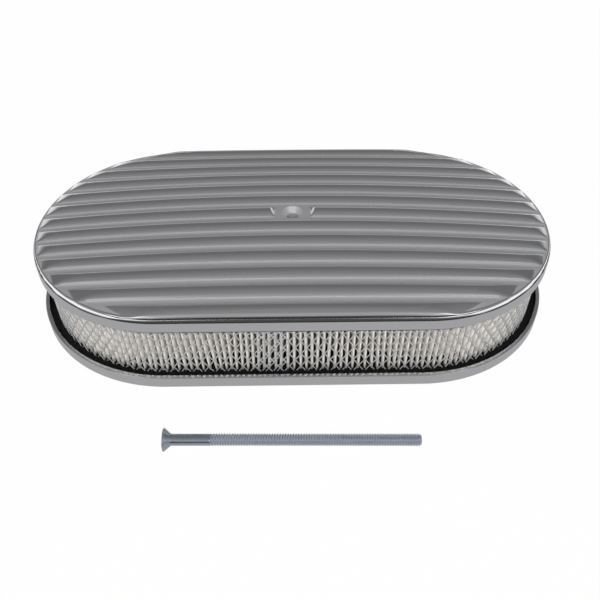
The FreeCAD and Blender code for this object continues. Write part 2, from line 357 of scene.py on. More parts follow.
def lid_top(x, y):
    """Height of the finned top: crown, fins rolled down at their ends, gap and rim."""
    sizes = lid_sizes()
    half = sizes.fin_half_width
    height = sizes.fin_height
    radius = (half ** 2 + height ** 2) / (2 * height)
    limit = (sizes.fin_count - 1) // 2
    number = np.clip(np.round(y / sizes.fin_pitch), -limit, limit)
    across = np.abs(y - number * sizes.fin_pitch)
    arc = np.sqrt(np.maximum(radius ** 2 - np.minimum(across, half) ** 2, 0)) - (radius - height)
    foot_slope = half / math.sqrt(radius ** 2 - half ** 2)
    ridge = np.where(across < half, arc, -foot_slope * (across - half))
    roll = sizes.fin_end_radius
    reach = math.sqrt(2 * roll * height - height ** 2)
    tip, slowness = fin_tip(number, y)
    inside = (tip - np.abs(x)) * slowness
    short = np.clip(reach - inside, 0, roll * 0.98)
    cap = height - (roll - np.sqrt(roll ** 2 - short ** 2)) + np.maximum(inside - reach, 0)
    ridge = soft_min(ridge, cap, FIN_END_SOFTNESS)
    slope = height / ((sizes.gap_top - sizes.gap_floor) / 2)
    gap = (np.abs(x) - sizes.gap_floor / 2) * slope
    ridge = np.where(number == 0, soft_min(ridge, gap, GAP_SOFTNESS), ridge)
    rim = rim_height(np.maximum(inside_outline(x, y, LID_RADIUS), 0))
    ridged = soft_min(crown(x, y) + ridge, rim, FIN_RIM_SOFTNESS)
    body = soft_min(crown(x, y), rim, RIM_SOFTNESS)
    return soft_max(body, ridged, sizes.foot_round)


def valley_share(x, y, z):
    """1 in the valleys and on the flat, less in the countersink, and 0 on the fins and the rim."""
    sizes = lid_sizes()
    above = z - crown(x, y)
    limit = (sizes.fin_count - 1) // 2
    number = np.clip(np.round(y / sizes.fin_pitch), -limit, limit)
    across = np.abs(y - number * sizes.fin_pitch)
    low = np.clip((0.7 * MM - above) / (0.4 * MM), 0, 1)
    beside = np.clip((across - sizes.fin_half_width + sizes.foot_width) / SATIN_FADE, 0, 1)
    short = np.clip((np.abs(x) - fin_tip(number, y)[0]) / (2 * MM) + 1, 0, 1)
    flat = np.clip((0.5 * MM - above) / SATIN_FADE, 0, 1)
    flat = flat * (number == 0) * (np.abs(x) < sizes.gap_top / 2)
    out = np.hypot(x, y)
    sunk = (out < COUNTERSINK_RADIUS + 0.3 * MM) * (out > SCREW_HOLE_RADIUS + 0.2 * MM) * SUNK_SATIN
    on_crown = np.clip((inside_outline(x, y, LID_RADIUS) - 2.2 * MM) / (0.4 * MM), 0, 1)
    return np.maximum(low * np.maximum(beside, short) * on_crown, np.maximum(flat, sunk))


def lid_rows():
    """Y of the grid's rows: even over the fins, closer where the outline turns along X."""
    sizes = lid_sizes()
    edge = LID_RADIUS - LID_GRID_INSET
    step = sizes.fin_pitch / ROWS_PER_FIN
    count = int(edge * 0.955 / step)
    rows = [i * step for i in range(-count, count + 1)]
    first = math.degrees(math.asin(count * step / edge))
    for i in range(1, END_ROWS + 1):
        a = math.radians(first + (90 - first) * i / END_ROWS)
        rows.append(edge * math.sin(a))
        rows.insert(0, -edge * math.sin(a))
    return np.array(rows)


def lid_columns(y):
    """X of one row's points: fixed over the middle, closer towards the outline."""
    middle = 60 * MM
    edge = LID_RADIUS - LID_GRID_INSET
    end = STRAIGHT + math.sqrt(max(edge ** 2 - y ** 2, 0))
    fixed = list(np.arange(0, 11, 2.75)) + list(np.arange(11, 18.1, 0.5)) + list(np.arange(21, 60, 3))
    closing = [1 - (1 - k / END_COLUMNS) ** 1.7 for k in range(END_COLUMNS + 1)]
    outer = [middle + (end - middle) * share for share in closing]
    half = [v * MM for v in fixed] + outer
    return np.array([-v for v in reversed(half[1:])] + half)


def lid_body():
    """Points and faces of the whole lid casting, top, rim, skirt and hollow underside."""
    rows = lid_rows()
    grid = []
    for y in rows:
        x = lid_columns(y)
        edge_y = np.full_like(x, y)
        grid.append(np.stack([x, edge_y, lid_top(x, edge_y)], axis=1))
    grid = np.array(grid)
    row_count, column_count = grid.shape[:2]
    points = grid.reshape(-1, 3).tolist()
    faces = grid_faces(row_count, column_count)
    rim = list(range(column_count))
    rim += [r * column_count + column_count - 1 for r in range(1, row_count)]
    rim += [(row_count - 1) * column_count + c for c in range(column_count - 2, -1, -1)]
    rim += [r * column_count for r in range(row_count - 2, 0, -1)]
    ways = []
    for index in rim:
        x, y = points[index][:2]
        centre = min(max(x, -STRAIGHT), STRAIGHT)
        away = math.hypot(x - centre, y)
        ways.append((centre, (x - centre) / away, y / away))
    previous = rim
    for ring in lid_rings(ways):
        start = len(points)
        points.extend(ring)
        current = list(range(start, start + len(ring)))
        for c in range(len(rim)):
            d = (c + 1) % len(rim)
            faces.append((previous[d], previous[c], current[c], current[d]))
        previous = current
    return points, faces


def lid_rings(ways):
    """Rings over the rim's round and the skirt, then over the underside to the middle."""
    outer = LID_RADIUS
    insets = [point[0] for point in rim_points()]
    insets += [insets[-1] + (LID_GRID_INSET - insets[-1]) * i / 4 for i in range(1, 4)]
    for inset in sorted(insets, reverse=True):
        x = np.array([centre + (outer - inset) * nx for centre, nx, ny in ways])
        y = np.array([(outer - inset) * ny for centre, nx, ny in ways])
        z = lid_top(x, y) if inset > 0 else np.full_like(x, LID_WALL_TOP)
        yield list(zip(x.tolist(), y.tolist(), z.tolist()))
    bottom = LID_LOW[2]
    inner = outer - LID_WALL
    profile = [(outer, (LID_WALL_TOP + bottom) / 2)]
    profile += arc_points((outer - LID_SKIRT_ROUND, bottom + LID_SKIRT_ROUND), LID_SKIRT_ROUND, 0, -90, 4)
    profile += [
        (inner, bottom),
        (inner, SEAT_HEIGHT),
        (inner - LID_SEAT_WIDTH, SEAT_HEIGHT),
        (inner - LID_SEAT_WIDTH, None),
        (UNDERSIDE_BEND, None),
        (RIB_OUTER + LID_SEAT_WIDTH, None),
        (RIB_OUTER + LID_SEAT_WIDTH, SEAT_HEIGHT),
        (RIB_OUTER, SEAT_HEIGHT),
        (RIB_OUTER, SEAT_HEIGHT - RIB_HEIGHT),
        (RIB_OUTER - RIB_WIDTH, SEAT_HEIGHT - RIB_HEIGHT),
        (RIB_OUTER - RIB_WIDTH, SEAT_HEIGHT),
    ]
    for i in range(UNDERSIDE_RINGS + 1):
        profile.append(((RIB_OUTER - RIB_WIDTH) * (1 - i / UNDERSIDE_RINGS), None))
    for radius, z in profile:
        ring = []
        for centre, nx, ny in ways:
            x = centre + radius * nx
            y = radius * ny
            ring.append((x, y, crown(x, y) - LID_SHELL if z is None else z))
        yield ring


def turned(name, profile, sides):
    """Round solid about Z: a cylinder between its first two (radius, z) points, then extruded on."""
    radius, low = profile[0]
    high = profile[1][1]
    bpy.ops.object.select_all(action="DESELECT")
    bpy.ops.mesh.primitive_cylinder_add(
        vertices=sides, radius=radius, depth=high - low, location=(0, 0, (low + high) / 2))
    piece = bpy.context.object
    piece.name = name
    piece.data.name = name
    bpy.ops.object.transform_apply(location=True, rotation=False, scale=False)
    extrude_end(piece, profile[1:], 1)
    return piece


def extrude_end(piece, profile, way):
    """Carry the highest face (way 1) or the lowest one (way -1) on through (radius, z) points."""
    pick(piece)
    bpy.ops.object.mode_set(mode="EDIT")
    bpy.ops.mesh.select_mode(type="FACE")
    bpy.ops.mesh.select_all(action="DESELECT")
    bpy.ops.object.mode_set(mode="OBJECT")
    max(piece.data.polygons, key=lambda face: face.center.z * way).select = True
    bpy.ops.object.mode_set(mode="EDIT")
    for (before, under), (after, over) in zip(profile, profile[1:]):
        bpy.ops.mesh.extrude_region_move(TRANSFORM_OT_translate={"value": (0, 0, over - under)})
        bpy.ops.transform.resize(value=(after / before, after / before, 1), center_override=(0, 0, over))
    bpy.ops.object.mode_set(mode="OBJECT")


def draw_out(piece):
    """Make a round piece oval: cut it in two, move a half out, extrude its cut back and mirror it."""
    pick(piece)
    bpy.ops.object.mode_set(mode="EDIT")
    bpy.ops.mesh.select_all(action="SELECT")
    bpy.ops.mesh.bisect(plane_co=(0, 0, 0), plane_no=(1, 0, 0), clear_inner=True)
    bpy.ops.mesh.select_all(action="SELECT")
    bpy.ops.transform.translate(value=(STRAIGHT, 0, 0))
    bpy.ops.mesh.select_mode(type="VERT")
    bpy.ops.mesh.select_all(action="DESELECT")
    bpy.ops.object.mode_set(mode="OBJECT")
    for vertex in piece.data.vertices:
        vertex.select = vertex.co.x < STRAIGHT + 0.001 * MM
    bpy.ops.object.mode_set(mode="EDIT")
    bpy.ops.mesh.extrude_region_move(TRANSFORM_OT_translate={"value": (-STRAIGHT, 0, 0)})
    bpy.ops.object.mode_set(mode="OBJECT")
    apply_modifier(piece, "MIRROR", merge_threshold=0.01 * MM)


def boolean(piece, tool, operation):
    apply_modifier(piece, "BOOLEAN", object=tool, operation=operation, solver="EXACT")
    bpy.data.objects.remove(tool, do_unlink=True)
    if not piece.data.polygons:
        raise RuntimeError("The cut left nothing of " + piece.name)


def mark_valleys(lid):
    """Keep the share of satin valley on each point of the lid."""
    places = np.empty(len(lid.data.vertices) * 3)
    lid.data.vertices.foreach_get("co", places)
    x, y, z = places.reshape(-1, 3).T
    share = valley_share(x, y, z)
    share[z < LID_WALL_TOP] = 0
    marks = lid.data.attributes.new("valley", "FLOAT", "POINT")
    marks.data.foreach_set("value", share)


class AIRCLEANER_OT_lid(bpy.types.Operator):
    """Model the finned lid casting"""

    bl_idname = "air_cleaner.lid"
    bl_label = "Finned lid"

    def execute(self, context):
        points, faces = lid_body()
        lid = mesh_object("finned_lid", points, faces)
        merge_and_turn_out(lid)
        boss_low = CROWN_HEIGHT - BOSS_DEPTH
        boss = turned("boss", [(BOSS_RADIUS, boss_low), (BOSS_RADIUS, CROWN_HEIGHT - LID_SHELL / 2)], 96)
        boolean(lid, boss, "UNION")
        drop = (COUNTERSINK_RADIUS - SCREW_HOLE_RADIUS) / SCREW_HEAD_SLOPE
        lift = 1 * MM
        wide = COUNTERSINK_RADIUS + lift * SCREW_HEAD_SLOPE
        drill = turned("drill", [
            (SCREW_HOLE_RADIUS, boss_low - lift),
            (SCREW_HOLE_RADIUS, CROWN_HEIGHT - drop),
            (wide, CROWN_HEIGHT + lift),
        ], 96)
        boolean(lid, drill, "DIFFERENCE")
        smooth_by_angle(lid, 35)
        mark_valleys(lid)
        lid.data.materials.append(polished_lid())
        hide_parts("lid")
        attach(lid, "root")
        return {"FINISHED"}


# Base

class AIRCLEANER_OT_base(bpy.types.Operator):
    """Model the base casting with its rim and neck"""

    bl_idname = "air_cleaner.base"
    bl_label = "Base"

    def execute(self, context):
        height = 9.6 * MM
        wall = 2.8 * MM
        floor = 3.0 * MM
        edge = 0.8 * MM
        outer = BASE_RADIUS
        inner = outer - wall
        neck_inner = 65.25 * MM
        neck_outer = neck_inner + 3.2 * MM
        neck_top = BASE_HIGH[2]
        profile = [(outer, edge)] + arc_points((outer - edge, height - edge), edge, 0, 90, 5)
        profile += [
            (inner + 0.2 * MM, height),
            (inner, height - 0.2 * MM),
            (inner, floor),
            (RIB_OUTER, floor),
            (RIB_OUTER, floor + RIB_HEIGHT),
            (RIB_OUTER - RIB_WIDTH, floor + RIB_HEIGHT),
            (RIB_OUTER - RIB_WIDTH, floor),
        ]
        base = turned("base_casting", profile, 360)
        extrude_end(base, arc_points((outer - edge, edge), edge, 0, -90, 5), -1)
        draw_out(base)
        merge_and_turn_out(base)
        neck = turned("neck", [(neck_outer, floor / 2), (neck_outer, neck_top)], 160)
        boolean(base, neck, "UNION")
        bore = turned("bore", [
            (neck_inner, -1 * MM),
            (neck_inner, neck_top - 1.2 * MM),
            (neck_inner + 0.35 * MM, neck_top - 0.35 * MM),
            (neck_inner + 1.2 * MM, neck_top),
            (neck_inner + 1.2 * MM, neck_top + 1 * MM),
        ], 160)
        boolean(base, bore, "DIFFERENCE")
        groove_inner = neck_inner + 1.3 * MM
        groove_outer = groove_inner + 6 * MM
        groove = turned("groove", [(groove_outer, -1 * MM), (groove_outer, 1.5 * MM)], 160)
        core = turned("core", [(groove_inner, -2 * MM), (groove_inner, 2.5 * MM)], 160)
        boolean(groove, core, "DIFFERENCE")
        boolean(base, groove, "DIFFERENCE")
        smooth_by_angle(base, 35)
        base.data.materials.append(polished_aluminium("polished_base", 0.12))
        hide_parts("base")
        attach(base, "root")
        return {"FINISHED"}


# Element

SCREEN_FOOT = 5.0 * MM
LATTICE_SHIFT = 1.4 * MM
PLEAT_FOOT = 7.0 * MM
PLEAT_DEPTH = 19.5 * MM
PLEAT_LEVELS = 9
PLEAT_SEED = 7
SEAL_SEED = 11


def diamond_lattice(radius, low, high, start, end, shift):
    """Faces of a diamond lattice on a racetrack wall, between two distances round it."""
    sizes = element_sizes()
    lap = lap_length(radius)
    count = round(lap / sizes.diamond_width)
    width = lap / count
    half_height = sizes.diamond_height / 2
    first = math.floor(start / width)
    last = math.ceil(end / width)
    rows = int(math.ceil((high - low) / half_height)) + 1
    points = []
    index = {}

    def corner(i, j):
        key = (i % (2 * count), j)
        if key not in index:
            along = (i / 2) * width + shift
            z = min(max(low + (j - 1) * half_height, low), high)
            x, y = on_lap(along, radius, radius)
            index[key] = len(points)
            points.append((x, y, z))
        return index[key]

    faces = []
    for j in range(1, rows + 1):
        for i in range(2 * first, 2 * last):
            if (i + j) % 2:
                continue
            faces.append((corner(i, j - 1), corner(i + 1, j), corner(i, j + 1), corner(i - 1, j)))
    return points, faces


class AIRCLEANER_OT_screen(bpy.types.Operator):
    """Model the outer screen of expanded metal with its lapped seam"""

    bl_idname = "air_cleaner.screen"
    bl_label = "Outer screen"

    def execute(self, context):
        sizes = element_sizes()
        radius = SCREEN_RADIUS - 0.25 * MM
        low, high = SCREEN_FOOT, SCREEN_HIGH[2]
        points, faces = diamond_lattice(radius, low, high, 0, lap_length(radius), LATTICE_SHIFT)
        screen = mesh_object("diamond_screen", points, faces)
        merge_and_turn_out(screen)
        apply_modifier(screen, "WIREFRAME", thickness=sizes.strand, use_even_offset=True,
                       use_boundary=True, use_replace=True)
        start = STRAIGHT + sizes.seam_left
        end = STRAIGHT + sizes.seam_right
        beside = LATTICE_SHIFT + sizes.diamond_width * 0.25
        points, faces = diamond_lattice(radius + 0.6 * MM, low - 1 * MM, high, start, end, beside)
        seam = mesh_object("seam", points, faces)
        apply_modifier(seam, "WIREFRAME", thickness=sizes.strand * 0.8, use_even_offset=True,
                       use_boundary=True, use_replace=True)
        pick(screen)
        seam.select_set(True)
        bpy.ops.object.join()
        smooth_by_angle(screen, 40)
        screen.data.materials.append(screen_metal())
        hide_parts("outer_screen")
        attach(screen, "root")
        return {"FINISHED"}


def pleat_points():
    """Points of the folded paper, level by level, and how many there are on a level."""
    outer = PAPER_HIGH[1] - 0.3 * MM
    inner = outer - PLEAT_DEPTH
    lap = lap_length(outer)
    count = round(lap / element_sizes().pleat_pitch)
    pitch = lap / count
    random = np.random.default_rng(PLEAT_SEED)
    wander = np.convolve(random.normal(0, 1, count + 8), np.ones(5) / 5, "same")[:count]
    lean = np.convolve(random.normal(0, 1, count + 16), np.ones(9) / 9, "same")[:count]
    low, high = PLEAT_FOOT, PAPER_HIGH[2]
    flank = [(0.05, 1.0), (0.14, 0.97), (0.2, 0.86), (0.24, 0.35)]
    fold = [(-side, depth) for side, depth in reversed(flank)] + flank + [(0.46, 0.0), (0.54, 0.0)]
    points = []
    for level in range(PLEAT_LEVELS):
        t = level / (PLEAT_LEVELS - 1)
        z = low + (high - low) * t
        for k in range(count):
            drift = (wander[k] * 0.35 + lean[k] * (t - 0.5) * 1.2) * pitch * 0.8
            for side, depth in fold:
                radius = inner + (outer - inner) * depth
                along = (k + side) * pitch + drift * depth
                x, y = on_lap(along, outer, radius)
                points.append((x, y, z))
    return points, count * len(fold)


class AIRCLEANER_OT_pleats(bpy.types.Operator):
    """Fold the pleated paper"""

    bl_idname = "air_cleaner.pleats"
    bl_label = "Pleated paper"

    def execute(self, context):
        points, columns = pleat_points()
        paper = mesh_object("pleats", points, grid_faces(PLEAT_LEVELS, columns, closed=True))
        smooth_by_angle(paper, 50)
        apply_modifier(paper, "SOLIDIFY", thickness=0.5 * MM, offset=0)
        paper.data.materials.append(filter_paper())
        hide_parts("pleated_paper")
        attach(paper, "root")
        return {"FINISHED"}


class AIRCLEANER_OT_seal(bpy.types.Operator):
    """Mould the bottom seal, which stands up between the pleats and slopes out to the base's rim"""

    bl_idname = "air_cleaner.seal"
    bl_label = "Bottom seal"

    def execute(self, context):
        low = SEAL_LOW[2]
        inner = PAPER_HIGH[1] - 20.5 * MM
        stand = PAPER_HIGH[1] - 2.4 * MM
        outer = SEAL_HIGH[1]
        foot = low + 3.8 * MM
        profile = [(outer, low), (outer, foot - 0.8 * MM), (outer - 0.6 * MM, foot - 0.5 * MM)]
        for i in range(1, 5):
            profile.append((outer + (SCREEN_RADIUS - outer) * i / 4, foot - 0.5 * MM + 0.12 * MM * i))
        profile += [(stand + 0.6 * MM, foot), (stand + 0.1 * MM, foot + 0.6 * MM), (stand, foot + 4 * MM),
                    (stand - 0.4 * MM, foot + 7.5 * MM), (stand - 1.6 * MM, foot + 8.5 * MM)]
        profile += [(inner, foot + 5 * MM), (inner, low)]
        points, faces = swept_ring(profile, spine_stations(240, 160))
        seal = mesh_object("moulded_seal", points, faces)
        merge_and_turn_out(seal)
        random = np.random.default_rng(SEAL_SEED)
        lumps = np.convolve(random.normal(0, 1, 400), np.ones(3) / 3, "same")
        for vertex in seal.data.vertices:
            if vertex.co.z > foot + 7 * MM:
                around = int((math.atan2(vertex.co.y, vertex.co.x) / math.tau + 0.5) * 399)
                vertex.co.z += lumps[around] * 1.5 * MM
        smooth_by_angle(seal, 40)
        seal.data.materials.append(moulded_rubber("seal_rubber", 0.7, 0.9))
        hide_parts("bottom_seal")
        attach(seal, "root")
        return {"FINISHED"}


# Screw

HEAD_RIM = 0.5 * MM
SCREW_POINT = 1.2 * MM
SHANK_UNDERSIZE = 0.22 * MM
THREAD_DEPTH = 0.85 * MM
THREAD_SIDES = 32
THREAD_ROWS = 6


def screw_head_profile(sizes):
    """(x, radius) points over the head, down its cone and along the plain shank."""
    head = sizes.head_diameter / 2
    plain = sizes.diameter / 2 - SHANK_UNDERSIZE
    neck = HEAD_RIM + (head - plain) / SCREW_HEAD_SLOPE
    profile = [
        (0.0, 0.0),
        (0.0, head * 0.5),
        (0.0, head - 0.15 * MM),
        (0.12 * MM, head),
        (HEAD_RIM, head),
        (HEAD_RIM + 0.1 * MM, head - 0.1 * MM),
        (neck - 0.4 * MM, plain + 0.35 * MM),
        (neck, plain + 0.08 * MM),
        (neck + 0.5 * MM, plain),
    ]
    for i in range(1, 9):
        profile.append((neck + (sizes.plain_length - 1 * MM) * i / 8, plain))
    return profile, neck + sizes.plain_length


def thread_radius(sizes, along, left, turn):
    """Radius of the thread at a distance along it, at a distance from the tip and at a share of a turn."""
    radius = sizes.diameter / 2
    plain = radius - SHANK_UNDERSIZE
    root = radius - THREAD_DEPTH
    phase = (along / sizes.pitch + turn) % 1.0
    wave = 0.5 + 0.5 * math.cos(2 * math.pi * phase)
    crest = root + (radius - root) * min(1.0, wave * 1.25)
    taper = min(1.0, along / (2.5 * MM))
    close = min(1.0, left / SCREW_POINT)
    return min(plain + (crest - plain) * taper, radius - SCREW_POINT * (1 - close) * 0.9)


def screw_body(sizes):
    """Points and faces of the screw along X, from its head to its tip."""
    profile, thread_x = screw_head_profile(sizes)
    rings = [(x, [r] * THREAD_SIDES) for x, r in profile]
    run = sizes.length - thread_x
    steps = int(run / sizes.pitch * THREAD_ROWS)
    for s in range(steps + 1):
        along = run * s / steps
        radii = [thread_radius(sizes, along, run - along, i / THREAD_SIDES) for i in range(THREAD_SIDES)]
        rings.append((thread_x + along, radii))
    points = []
    for x, radii in rings:
        for i, r in enumerate(radii):
            a = 2 * math.pi * i / THREAD_SIDES
            points.append((x, r * math.cos(a), r * math.sin(a)))
    faces = grid_faces(len(rings), THREAD_SIDES, closed=True)
    faces.append(tuple(range(THREAD_SIDES)))
    faces.append(tuple(range(len(points) - THREAD_SIDES, len(points))))
    return points, faces


class AIRCLEANER_OT_screw(bpy.types.Operator):
    """Turn the countersunk hold-down screw with its thread and cross recess"""

    bl_idname = "air_cleaner.screw"
    bl_label = "Hold-down screw"

    def execute(self, context):
        sizes = screw_sizes()
        points, faces = screw_body(sizes)
        screw = mesh_object("screw", points, faces)
        merge_and_turn_out(screw)
        cut_cross_recess(screw)
        smooth_by_angle(screw, 40)
        lay_screw(screw, sizes)
        screw.data.materials.append(zinc_plating())
        screw.visible_glossy = False
        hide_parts("hold_down_screw")
        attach(screw, "root")
        return {"FINISHED"}


def cut_cross_recess(screw):
    """Sink the tapered cross into the head's face."""
    width = 2.0 * MM
    span = 8.4 * MM
    depth = 3.0 * MM
    lift = 0.5 * MM
    for turn in (45, 135):
        bpy.ops.object.select_all(action="DESELECT")
        bpy.ops.mesh.primitive_cube_add(
            size=1, location=((depth - lift) / 2, 0, 0), scale=(depth + lift, width, span))
        slot = bpy.context.object
        bpy.ops.object.transform_apply(location=True, rotation=False, scale=True)
        for vertex in slot.data.vertices:
            if vertex.co.x > 0:
                vertex.co.z /= 3
        slot.data.transform(Matrix.Rotation(math.radians(turn), 4, "X"))
        boolean(screw, slot, "DIFFERENCE")


def lay_screw(screw, sizes):
    """Lay the screw on its head's rim and its tip, where the solid one lies."""
    lean = math.atan2((sizes.head_diameter - sizes.diameter) / 2, sizes.length - SCREW_POINT - HEAD_RIM)
    screw.data.transform(Matrix.Rotation(lean, 4, "Y"))
    low = min(v.co.z for v in screw.data.vertices)
    left = min(v.co.x for v in screw.data.vertices)
    middle_y = (SCREW_LOW[1] + SCREW_HIGH[1]) / 2
    screw.data.transform(Matrix.Translation((SCREW_LOW[0] - left, middle_y, SCREW_LOW[2] - low)))


# Finishes

def new_material(name):
    material = bpy.data.materials.new(name)
    material.use_nodes = True
    nodes = material.node_tree.nodes
    links = material.node_tree.links
    shader = nodes["Principled BSDF"]
    return material, nodes, links, shader


def grain_group():
    """Noise on Object coordinates, drawn out along chosen axes, that all the finishes share."""
    group = bpy.data.node_groups.get("grain")
    if group:
        return group
    group = bpy.data.node_groups.new("grain", "ShaderNodeTree")
    group.interface.new_socket("Stretch", in_out="INPUT", socket_type="NodeSocketVector")
    group.interface.new_socket("Scale", in_out="INPUT", socket_type="NodeSocketFloat")
    group.interface.new_socket("Detail", in_out="INPUT", socket_type="NodeSocketFloat")
    group.interface.new_socket("Fac", in_out="OUTPUT", socket_type="NodeSocketFloat")
    nodes = group.nodes
    links = group.links
    taken = nodes.new("NodeGroupInput")
    given = nodes.new("NodeGroupOutput")
    place = nodes.new("ShaderNodeTexCoord")
    mapping = nodes.new("ShaderNodeMapping")
    noise = nodes.new("ShaderNodeTexNoise")
    links.new(taken.outputs["Stretch"], mapping.inputs["Scale"])
    links.new(taken.outputs["Scale"], noise.inputs["Scale"])
    links.new(taken.outputs["Detail"], noise.inputs["Detail"])
    links.new(place.outputs["Object"], mapping.inputs["Vector"])
    links.new(mapping.outputs["Vector"], noise.inputs["Vector"])
    links.new(noise.outputs["Fac"], given.inputs["Fac"])
    return group


def add_grain(nodes, stretch, scale, detail=3.0):
    grain = nodes.new("ShaderNodeGroup")
    grain.node_tree = grain_group()
    grain.inputs["Stretch"].default_value = stretch
    grain.inputs["Scale"].default_value = scale
    grain.inputs["Detail"].default_value = detail
    return grain


def map_range(nodes, links, source, low, high):
    span = nodes.new("ShaderNodeMapRange")
    span.inputs["From Min"].default_value = 0.3
    span.inputs["From Max"].default_value = 0.7
    span.inputs["To Min"].default_value = low
    span.inputs["To Max"].default_value = high
    links.new(source, span.inputs["Value"])
    return span.outputs["Result"]


def mottle(nodes, links, shader, grain, colour, shade):
    """Base colour that wanders between a darker share of the colour and the colour itself."""
    ramp = nodes.new("ShaderNodeValToRGB")
    dark, light = ramp.color_ramp.elements
    dark.position = 0.35
    dark.color = (colour[0] * shade[0], colour[1] * shade[1], colour[2] * shade[2], 1)
    light.position = 0.65
    light.color = (*colour, 1)
    links.new(grain.outputs["Fac"], ramp.inputs["Fac"])
    links.new(ramp.outputs["Color"], shader.inputs["Base Color"])


def add_bump(nodes, links, shader, height, strength, distance):
    bump = nodes.new("ShaderNodeBump")
    bump.inputs["Strength"].default_value = strength
    bump.inputs["Distance"].default_value = distance
    links.new(height, bump.inputs["Height"])
    links.new(bump.outputs["Normal"], shader.inputs["Normal"])


def polished_aluminium(name, roughness):
    material, nodes, links, shader = new_material(name)
    shader.inputs["Base Color"].default_value = (*finishes().aluminium, 1)
    shader.inputs["Metallic"].default_value = 1.0
    noise = add_grain(nodes, (0.25, 1.0, 1.0), 90)
    links.new(map_range(nodes, links, noise.outputs["Fac"], roughness * 0.8, roughness * 1.25),
              shader.inputs["Roughness"])
    ripple = add_grain(nodes, (0.12, 1.0, 1.0), 420, 2.0)
    add_bump(nodes, links, shader, ripple.outputs["Fac"], 0.12, 0.02 * MM)
    return material


def polished_lid():
    """Polished fins and rim, with satin valleys that the polishing wheel doesn't reach."""
    material = polished_aluminium("polished_lid", 0.1)
    nodes = material.node_tree.nodes
    links = material.node_tree.links
    shader = nodes["Principled BSDF"]
    marks = nodes.new("ShaderNodeAttribute")
    marks.attribute_name = "valley"
    polished = shader.inputs["Roughness"].links[0].from_socket
    roughness = nodes.new("ShaderNodeMix")
    roughness.inputs["B"].default_value = 0.42
    links.new(marks.outputs["Fac"], roughness.inputs["Factor"])
    links.new(polished, roughness.inputs["A"])
    links.new(roughness.outputs["Result"], shader.inputs["Roughness"])
    metallic = nodes.new("ShaderNodeMix")
    metallic.inputs["A"].default_value = 1.0
    metallic.inputs["B"].default_value = 0.72
    links.new(marks.outputs["Fac"], metallic.inputs["Factor"])
    links.new(metallic.outputs["Result"], shader.inputs["Metallic"])
    return material


def screen_metal():
    material, nodes, links, shader = new_material("screen_wire")
    shader.inputs["Base Color"].default_value = (*finishes().wire, 1)
    shader.inputs["Metallic"].default_value = 0.75
    noise = add_grain(nodes, (1, 1, 1), 600)
    links.new(map_range(nodes, links, noise.outputs["Fac"], 0.38, 0.55), shader.inputs["Roughness"])
    add_bump(nodes, links, shader, noise.outputs["Fac"], 0.2, 0.05 * MM)
    return material


def filter_paper():
    material, nodes, links, shader = new_material("filter_paper")
    noise = add_grain(nodes, (1, 1, 0.3), 240)
    mottle(nodes, links, shader, noise, finishes().paper, (0.86, 0.85, 0.83))
    shader.inputs["Roughness"].default_value = 0.9
    fibre = add_grain(nodes, (1, 1, 1), 1800)
    add_bump(nodes, links, shader, fibre.outputs["Fac"], 0.4, 0.1 * MM)
    return material


def moulded_rubber(name, roughness, rough_skin):
    material, nodes, links, shader = new_material(name)
    shader.inputs["Base Color"].default_value = (*finishes().rubber, 1)
    shader.inputs["Specular IOR Level"].default_value = 0.25
    crinkle = add_grain(nodes, (1, 1, 1), 420, 4.0)
    links.new(map_range(nodes, links, crinkle.outputs["Fac"], roughness * 0.7, roughness * 1.2),
              shader.inputs["Roughness"])
    add_bump(nodes, links, shader, crinkle.outputs["Fac"], rough_skin, 0.8 * MM)
    return material


def zinc_plating():
    material, nodes, links, shader = new_material("zinc_screw")
    shader.inputs["Metallic"].default_value = 1.0
    noise = add_grain(nodes, (0.4, 1, 1), 160)
    mottle(nodes, links, shader, noise, finishes().zinc, (0.9, 0.92, 0.95))
    links.new(map_range(nodes, links, noise.outputs["Fac"], 0.22, 0.34), shader.inputs["Roughness"])
    return material


class AIRCLEANER_OT_finish_nodes(bpy.types.Operator):
    """Give the carried-over solids their finishes"""

    bl_idname = "air_cleaner.finish_nodes"
    bl_label = "Hidden seals and screen"

    def execute(self, context):
        seal = moulded_rubber("top_seal_rubber", 0.7, 0.9)
        gasket = moulded_rubber("gasket_rubber", 0.7, 0.2)
        dress = {
            "top_seal": seal,
            "neck_gasket": gasket,
            "inner_screen": screen_metal(),
        }
        for node, material in dress.items():
            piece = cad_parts[node]
            piece.data.materials.clear()
            piece.data.materials.append(material)
        return {"FINISHED"}


# Stage

FOCAL_LENGTH = 40.802
CAMERA_PLACE = (0.0, -408.8427 * MM, 370.3842 * MM)
CAMERA_YAW = -0.0132
CAMERA_PITCH = 0.759
CAMERA_ROLL = -0.0015


def add_camera():
    yaw, pitch, roll = CAMERA_YAW, CAMERA_PITCH, CAMERA_ROLL
    right = Vector((math.cos(yaw), math.sin(yaw), 0))
    ahead = Vector((-math.sin(yaw) * math.cos(pitch), math.cos(yaw) * math.cos(pitch), -math.sin(pitch)))
    up = right.cross(ahead)
    turned_right = right * math.cos(roll) + up * math.sin(roll)
    turned_up = up * math.cos(roll) - right * math.sin(roll)
    bpy.ops.object.camera_add(location=CAMERA_PLACE)
    camera = bpy.context.object
    camera.name = "studio_camera"
    turn = Matrix((turned_right, turned_up, -ahead)).transposed()
    camera.rotation_euler = turn.to_euler()
    camera.data.lens = FOCAL_LENGTH
    camera.data.sensor_width = 36
    camera.data.clip_start = 0.01
    bpy.context.scene.camera = camera


# Brightness of the studio by the angle over the object, from the back's horizon to the front's
STUDIO_BANDS = (
    (0, 0.55), (10, 0.45), (20, 0.24), (30, 0.155), (45, 0.16), (65, 0.175), (80, 0.195), (95, 0.225),
    (115, 0.26), (128, 0.30), (138, 0.35), (148, 0.39), (156, 0.41), (162, 0.05), (180, 0.03),
)
SIDE_GLOW = 0.25
